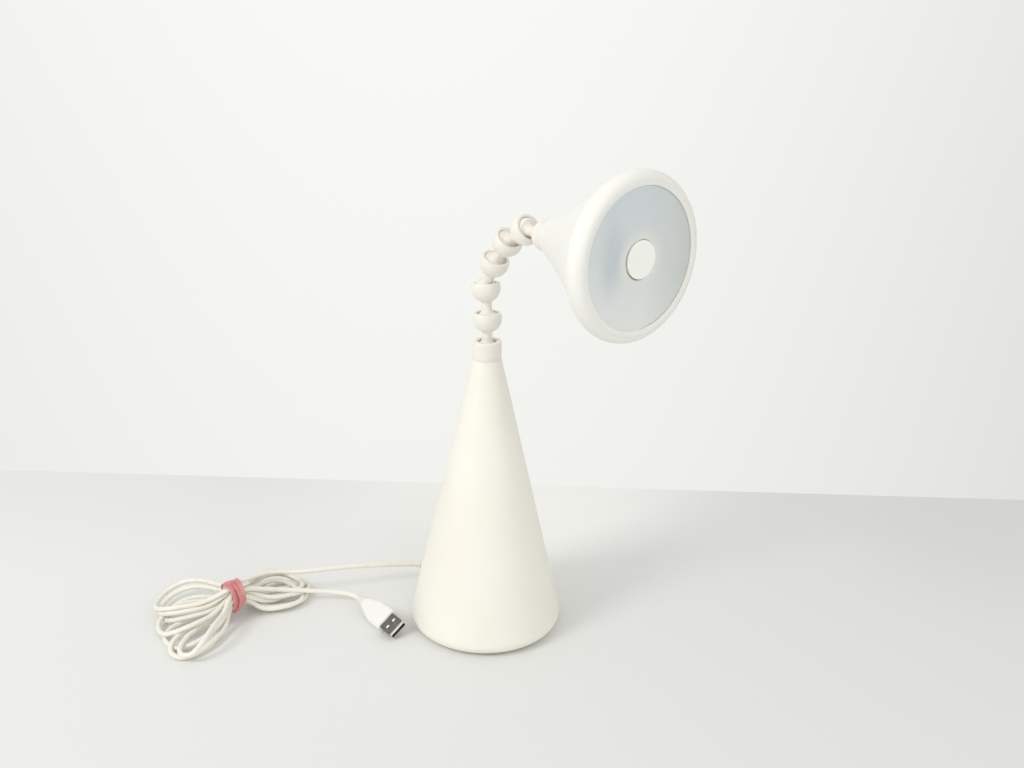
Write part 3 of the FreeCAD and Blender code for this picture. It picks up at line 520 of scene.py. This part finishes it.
MILKY_RADIUS = (1.0, 0.85, 0.6)     # how far each colour goes inside pale plastic, by depth
MILKY_DEPTH = 2.5               # millimetres
SPECK_SHADE = 0.86              # of a speck, against the darker colour of its plastic
STAIN_SHADE = 0.8               # of a stain on bare metal


def plastic(name, light, dark, roughness=(0.38, 0.5), grain=1400, grain_depth=0.006, wave=70,
            milky=0.0):
    """Moulded plastic: fine grain, slow unevenness of the wall, faint handling marks."""
    p = Paint(name)
    slow = p.noise(22, 3)
    handled = p.noise(140, 5, 0.6)
    tone = p.blend(p.spread(slow, 0, 1, 0.3, 0.7), light, dark)
    specks = p.spread(p.noise(900, 2), 0, 0.5, 0.68, 0.78)
    p.colour(p.blend(specks, tone, tuple(c * SPECK_SHADE for c in dark)))
    p.rough(p.spread(handled, *roughness))
    p.bump((p.noise(grain, 2), grain_depth), (p.noise(wave, 2), grain_depth * 3))
    p.set(Subsurface_Weight=milky, Subsurface_Radius=MILKY_RADIUS)
    p.set(Subsurface_Scale=MILKY_DEPTH * MM)
    return p.material


def metal(name, colour, roughness=(0.2, 0.4), brushed=(40, 1500, 1500)):
    p = Paint(name)
    streak = p.noise(1, 4, 0.6, stretch=brushed)
    stain = p.noise(300, 4)
    p.colour(p.blend(p.spread(stain, 0, 1), colour, tuple(c * STAIN_SHADE for c in colour)))
    p.rough(p.spread(streak, *roughness))
    p.bump((streak, 0.004))
    p.set(Metallic=1.0)
    return p.material


def plug_steel():
    """Nickelled sheet, dull and unevenly stained, with a painted highlight along the edge of its
    mouth.
    """
    p = Paint("plug steel")
    split = p.node("ShaderNodeSeparateXYZ")
    p.join(p.place, split.inputs[0])
    streak = p.noise(1, 4, 0.6, stretch=(1500, 60, 1500))
    stain = p.noise(700, 4, 0.6)
    dull = p.blend(p.spread(stain, 0, 1, 0.35, 0.65), linear(134, 128, 124), linear(104, 98, 94))
    # Painted highlight: a bright band along the edge of the mouth.
    edge = (SHELL_MOUTH * MM, (SHELL_MOUTH + MOUTH_HIGHLIGHT) * MM)
    mouth_highlight = p.spread(split.outputs[1], 1, 0, *edge)
    p.colour(p.blend(mouth_highlight, dull, linear(236, 234, 228)))
    p.rough(p.spread(streak, 0.3, 0.48))
    p.bump((streak, 0.004))
    p.set(Metallic=1.0)
    return p.material


def paint(material, *names):
    for name in names:
        data = NODES[name].data if name in NODES else bpy.data.objects[name].data
        data.materials.clear()
        data.materials.append(material)


SEGMENTS = range(1, 6)
paint(plastic("base cream", linear(242, 240, 229), linear(239, 236, 224), (0.42, 0.55),
              grain=1500, grain_depth=0.008), "base_shell")
paint(plastic("neck cream", linear(240, 236, 227), linear(237, 231, 221), (0.36, 0.5),
              grain=1800, grain_depth=0.004, wave=160, milky=0.5),
      "neck_collar", "head_collar", *["neck_segment_%d" % k for k in SEGMENTS])
paint(plastic("head white", linear(240, 240, 234), linear(237, 236, 229), (0.34, 0.46),
              grain=1600, grain_depth=0.004), "head_shell", "head_bezel")
paint(plastic("button white", linear(251, 251, 244), linear(248, 248, 240), (0.4, 0.5),
              grain=1800, grain_depth=0.004), "push_button")
paint(plastic("inner white", linear(240, 240, 236), linear(234, 234, 229), (0.5, 0.65)),
      "reflector", "switch_plunger")
paint(plastic("plug white", linear(241, 239, 235), linear(238, 235, 230), (0.42, 0.55),
              grain=1600, wave=200), "plug_overmould", "plug_grip")
paint(plastic("plug insulator", linear(250, 250, 246), linear(245, 244, 239), (0.35, 0.5)),
      "plug_tongue")
paint(plastic("base plate", linear(236, 232, 220), linear(228, 223, 210), (0.5, 0.65)),
      "base_plate")
paint(plastic("switch black", (0.02, 0.02, 0.02), (0.03, 0.03, 0.03), (0.4, 0.55)), "switch_body")
paint(plastic("foot rubber", linear(150, 148, 142), linear(132, 130, 124), (0.7, 0.85),
              grain=2500, grain_depth=0.03), "foot_pad")
paint(plastic("circuit board", linear(236, 240, 232), linear(226, 232, 222), (0.3, 0.4)),
      "led_board")
paint(plastic("phosphor", linear(232, 210, 120), linear(222, 196, 100), (0.4, 0.5)), "led_chips")
paint(metal("zinc steel", (0.55, 0.55, 0.56)), "base_screws", "collar_nut", "head_nut",
      "board_screws")
paint(plug_steel(), "plug_shell")
paint(metal("contact brass", (0.72, 0.52, 0.2)), "plug_contacts")
paint(metal("cast iron", (0.22, 0.22, 0.23), (0.6, 0.8), (900, 900, 900)), "ballast_disc")


def cord_jacket():
    """Soft PVC: slightly yellowed, with rubbed grey places and a faint extrusion ripple."""
    p = Paint("cord jacket")
    slow = p.noise(35, 4, 0.6)
    soiled = p.noise(260, 5, 0.65)
    tone = p.blend(p.spread(slow, 0, 1, 0.3, 0.7), linear(241, 238, 227), linear(234, 230, 218))
    p.colour(p.blend(p.spread(soiled, 0, 0.7, 0.58, 0.8), tone, linear(204, 198, 186)))
    p.rough(p.spread(soiled, 0.42, 0.6))
    p.bump((p.noise(2200, 2), 0.01), (p.noise(420, 2), 0.03))
    p.set(Specular_IOR_Level=0.45)
    return p.material


paint(cord_jacket(), "cord", "cord_strain_relief", "base_lead", "head_lead", "cord_base_run",
      "cord_hank", "cord_plug_run", *["neck_lead_%d" % k for k in SEGMENTS])


def band_rubber():
    """Old rubber: dull pink, darker and redder in random blotches, dusty, finely wrinkled."""
    p = Paint("band rubber")
    blotch = p.noise(160, 4, 0.6)
    dust = p.noise(520, 5, 0.7)
    tone = p.blend(p.spread(blotch, 0, 1, 0.3, 0.7), linear(221, 152, 150), linear(198, 120, 122))
    p.colour(p.blend(p.spread(dust, 0, 0.55, 0.5, 0.8), tone, linear(230, 172, 168)))
    p.rough(p.spread(dust, 0.6, 0.85))
    p.bump((p.noise(2600, 3, 0.7), 0.03), (p.noise(420, 3, 0.6, stretch=(1, 1, 2.5)), 0.16))
    return p.material


paint(band_rubber(), "hank_rubber_band", "hank_band")

# ------------------------------------------------------------------ diffuser
HEAD_PLACE = (0, -34.672, 270.369)  # origin of the head's own coordinates, in millimetres
HEAD_LEAN = 91.0                # degrees
# In metres, in the head's own x and y or as a distance from its axis.
PAINTED_SHADE_UP = (-0.036, 0.03)      # y over which painted shade darkens the disc
PAINTED_SHADE_ASIDE = (0.004, 0.036)   # x over which painted shade darkens it too
BEHIND_SHADOW_SHIFT = (0.0205, -0.001, 0)   # brings the middle of the bluer painted shadow of the parts behind the disc to the origin
BEHIND_SHADOW_SCALE = (1, 0.45, 1)      # makes that painted shadow longer in y
# over which that painted shadow fades out
BEHIND_SHADOW_FADE = (0.001, 0.0125)
PAINTED_GLOW_FADE = (0.0105, 0.0175)    # of the painted light, a paler ring round the button
EDGE_SHADE_LINE = (0.0366, 0.0371)    # where the painted shadow line at the disc's edge sets in
BUTTON_GAP_SHADE = (0.0111, 0.0106)   # and the painted shadow in the gap round the button
LINE_FADE = 0.008               # over which these two fade in, from the middle to their side


def head_coordinates(p):
    """Coordinates in the head: z along its axis, x to its side, in metres."""
    made = p.node("ShaderNodeMapping", vector_type="TEXTURE")
    made.inputs["Location"].default_value = Vector(HEAD_PLACE) * MM
    made.inputs["Rotation"].default_value = (math.radians(HEAD_LEAN), 0, 0)
    p.join(p.place, made.inputs["Vector"])
    return made.outputs["Vector"]


def painted_shade_ring(p, flat, radius, edge, share, side):
    """Share of a thin painted shadow ring that fades out away from one side of the disc."""
    toward = p.node("ShaderNodeVectorMath", operation="DOT_PRODUCT")
    toward.inputs[1].default_value = (*side, 0)
    p.join(flat, toward.inputs[0])
    both = p.node("ShaderNodeMath", operation="MULTIPLY")
    p.join(p.spread(radius, 0, share, *edge), both.inputs[0])
    p.join(p.spread(toward.outputs["Value"], 0, 1, 0, LINE_FADE), both.inputs[1])
    return both.outputs[0]


def diffuser_frost():
    """Frosted sheet over a pale reflector, grey-blue, with painted shade: darker towards the top
    and one side, a bluer painted shadow of the parts behind it, painted light in a paler ring
    round the button, and painted shadow lines at its edge and round the button.
    """
    p = Paint("diffuser frost")
    split = p.node("ShaderNodeSeparateXYZ")
    p.join(head_coordinates(p), split.inputs[0])
    x, y = split.outputs[0], split.outputs[1]
    flattened = p.node("ShaderNodeCombineXYZ")
    p.join(x, flattened.inputs[0])
    p.join(y, flattened.inputs[1])
    flat = flattened.outputs[0]
    length = p.node("ShaderNodeVectorMath", operation="LENGTH")
    p.join(flat, length.inputs[0])
    radius = length.outputs["Value"]
    # Painted shade: the disc darker towards the top and towards one side.
    tone = p.blend(p.spread(y, 0, 1, *PAINTED_SHADE_UP), linear(230, 231, 227), linear(206, 214, 216))
    tone = p.blend(p.spread(x, 0, 0.8, *PAINTED_SHADE_ASIDE), tone, linear(196, 201, 196))
    oval = p.node("ShaderNodeMapping")
    oval.inputs["Location"].default_value = BEHIND_SHADOW_SHIFT
    oval.inputs["Scale"].default_value = BEHIND_SHADOW_SCALE
    p.join(flat, oval.inputs["Vector"])
    away = p.node("ShaderNodeVectorMath", operation="LENGTH")
    p.join(oval.outputs["Vector"], away.inputs[0])
    # Painted shadow of the parts behind the disc, bluer, fading out from its middle.
    behind_shadow = p.blend(p.noise(120, 3, 0.6), linear(180, 192, 200), linear(196, 203, 208))
    behind_shadow_share = p.spread(away.outputs["Value"], 0.7, 0, *BEHIND_SHADOW_FADE, smooth=True)
    tone = p.blend(behind_shadow_share, tone, behind_shadow)
    # Painted light: a paler ring round the button.
    painted_glow = p.spread(radius, 0.85, 0, *PAINTED_GLOW_FADE, smooth=True)
    tone = p.blend(painted_glow, tone, linear(227, 228, 222))
    mottle = p.spread(p.noise(70, 4, 0.6), 0, 0.3, 0.35, 0.7)
    tone = p.blend(mottle, tone, linear(220, 223, 221))
    # Painted shadow line at the disc's edge, on one side only.
    edge_shade = painted_shade_ring(p, flat, radius, EDGE_SHADE_LINE, 0.7, side=(1, 0))
    tone = p.blend(edge_shade, tone, linear(150, 152, 150))
    # Painted shadow in the gap round the button, on the side the button does not hide.
    gap = painted_shade_ring(p, flat, radius, BUTTON_GAP_SHADE, 0.75, side=(-0.9, -0.45))
    p.colour(p.blend(gap, tone, linear(120, 116, 110)))
    p.rough(p.spread(p.noise(400, 4), 0.42, 0.55))
    p.bump((p.noise(3000, 2), 0.004))
    p.set(Specular_IOR_Level=0.4)
    return p.material


paint(diffuser_frost(), "diffuser")

# ------------------------------------------------------------------ floor, wall tone and light
# Two points of the line where the floor ends and the wall begins.
FLOOR_BACK = (Vector((-0.19663, 0.45822, 0)), Vector((0.48281, -0.14445, 0)))
FLOOR_REACH = 3.0
FLOOR_ACROSS = (-0.1, 0.55)     # x over which painted shade darkens the floor
FLOOR_NEAR = (-0.2, 0.05)       # way from the camera past the lamp where the painted shade of the near floor ends
FLOOR_LIGHT_POOL = (0.16, 0.17, 0)    # middle of the painted pool of light on the floor behind the lamp
FLOOR_LIGHT_POOL_FADE = (0.03, 0.26)
WALL_TONE = linear(243, 244, 240)
WALL_FALL_RIGHT = -0.101        # change of the wall's tone towards the right,
WALL_FALL_SIDES = -0.47         # towards both sides, with the square of the way,
WALL_RISE_UP = 0.126            # and upwards
WALL_LEAST = 0.80
AMBIENT = 0.74
# Each softbox: name, place, what it points at, diameter, power in watts.
SOFTBOXES = [
    ("key", (-1.10, 0.08, 0.92), (0, 0, 0.1), 0.5, 6.2),
    ("fill", (-0.35, -1.1, 0.75), (0, 0, 0.15), 0.9, 2.6),
]


def add_floor():
    """A pale table whose far edge is the line where the wall begins, with painted shade to the
    right and near the camera and a painted pool of light behind the lamp.
    """
    one, two = FLOOR_BACK
    along = (two - one).normalized()
    near = Vector((along.y, -along.x, 0))
    corners = [one - along * FLOOR_REACH, two + along * FLOOR_REACH]
    corners += [corners[1] + near * FLOOR_REACH, corners[0] + near * FLOOR_REACH]
    data = bpy.data.meshes.new("floor")
    data.from_pydata(corners, [], [(0, 1, 2, 3)])
    floor = link(bpy.data.objects.new("floor", data))
    p = Paint("floor")
    split = p.node("ShaderNodeSeparateXYZ")
    p.join(p.place, split.inputs[0])
    # Painted shade: the floor darker to the right.
    across = p.spread(split.outputs[0], 0, 1, *FLOOR_ACROSS)
    tone = p.blend(across, linear(233, 233, 230), linear(223, 224, 219))
    # Painted shade: the floor darker near the camera.
    away = p.node("ShaderNodeVectorMath", operation="DOT_PRODUCT")
    away.inputs[1].default_value = -Vector(CAMERA_PLACE[:2]).normalized().to_3d()
    p.join(p.place, away.inputs[0])
    near_shade_share = p.spread(away.outputs["Value"], 1, 0, *FLOOR_NEAR)
    tone = p.blend(near_shade_share, tone, linear(226, 227, 224))
    # Painted light: a brighter pool on the floor behind the lamp.
    light_pool = p.node("ShaderNodeVectorMath", operation="DISTANCE")
    light_pool.inputs[1].default_value = FLOOR_LIGHT_POOL
    p.join(p.place, light_pool.inputs[0])
    light_pool_share = p.spread(light_pool.outputs["Value"], 1, 0, *FLOOR_LIGHT_POOL_FADE, smooth=True)
    tone = p.blend(light_pool_share, tone, linear(251, 252, 246))
    p.colour(p.blend(p.spread(p.noise(6, 4), 0, 0.35), tone, linear(228, 229, 225)))
    p.rough(p.spread(p.noise(60, 3), 0.55, 0.7))
    p.bump((p.noise(1200, 2), 0.01))
    p.set(Specular_IOR_Level=0.2)
    data.materials.append(p.material)


def add_world():
    """Even light for the object, while camera, gloss and glass see the wall's own fall of tone."""
    world = bpy.data.worlds.new("studio")
    bpy.context.scene.world = world
    world.use_nodes = True
    nodes, links = world.node_tree.nodes, world.node_tree.links
    nodes.clear()
    place = nodes.new("ShaderNodeTexCoord").outputs["Generated"]

    def toward(direction):
        made = nodes.new("ShaderNodeVectorMath")
        made.operation = "DOT_PRODUCT"
        made.inputs[1].default_value = direction
        links.new(place, made.inputs[0])
        return made.outputs["Value"]

    def combined(operation, *values):
        made = nodes.new("ShaderNodeMath")
        made.operation = operation
        for socket, value in zip(made.inputs, values):
            if isinstance(value, float):
                socket.default_value = value
            else:
                links.new(value, socket)
        return made.outputs[0]

    right, up, _ = camera_axes()
    side = toward(right)
    slope = toward(right * WALL_FALL_RIGHT + up * WALL_RISE_UP)
    fall = combined("MULTIPLY_ADD", combined("MULTIPLY", side, side), WALL_FALL_SIDES, slope)
    tone = combined("MAXIMUM", combined("ADD", fall, 1.0), WALL_LEAST)
    seen = nodes.new("ShaderNodeBackground")
    seen.inputs["Color"].default_value = (*WALL_TONE, 1)
    links.new(tone, seen.inputs["Strength"])
    lit = nodes.new("ShaderNodeBackground")
    lit.inputs["Color"].default_value = (1.0, 1.0, 1.0, 1)
    lit.inputs["Strength"].default_value = AMBIENT
    rays = nodes.new("ShaderNodeLightPath")
    sees_wall = combined("MAXIMUM", rays.outputs["Is Camera Ray"], rays.outputs["Is Glossy Ray"])
    sees_wall = combined("MAXIMUM", sees_wall, rays.outputs["Is Transmission Ray"])
    mix = nodes.new("ShaderNodeMixShader")
    links.new(sees_wall, mix.inputs[0])
    links.new(lit.outputs[0], mix.inputs[1])
    links.new(seen.outputs[0], mix.inputs[2])
    out = nodes.new("ShaderNodeOutputWorld")
    links.new(mix.outputs[0], out.inputs["Surface"])


def add_softbox(name, place, target, size, power):
    data = bpy.data.lights.new(name, "AREA")
    data.shape = "DISK"
    data.size = size
    data.energy = power
    lamp = link(bpy.data.objects.new(name, data))
    lamp.location = place
    lamp.rotation_euler = (Vector(target) - Vector(place)).to_track_quat("-Z", "Y").to_euler()


add_floor()
add_world()
for softbox in SOFTBOXES:
    add_softbox(*softbox)


bpy.context.scene.view_settings.view_transform = "Standard"
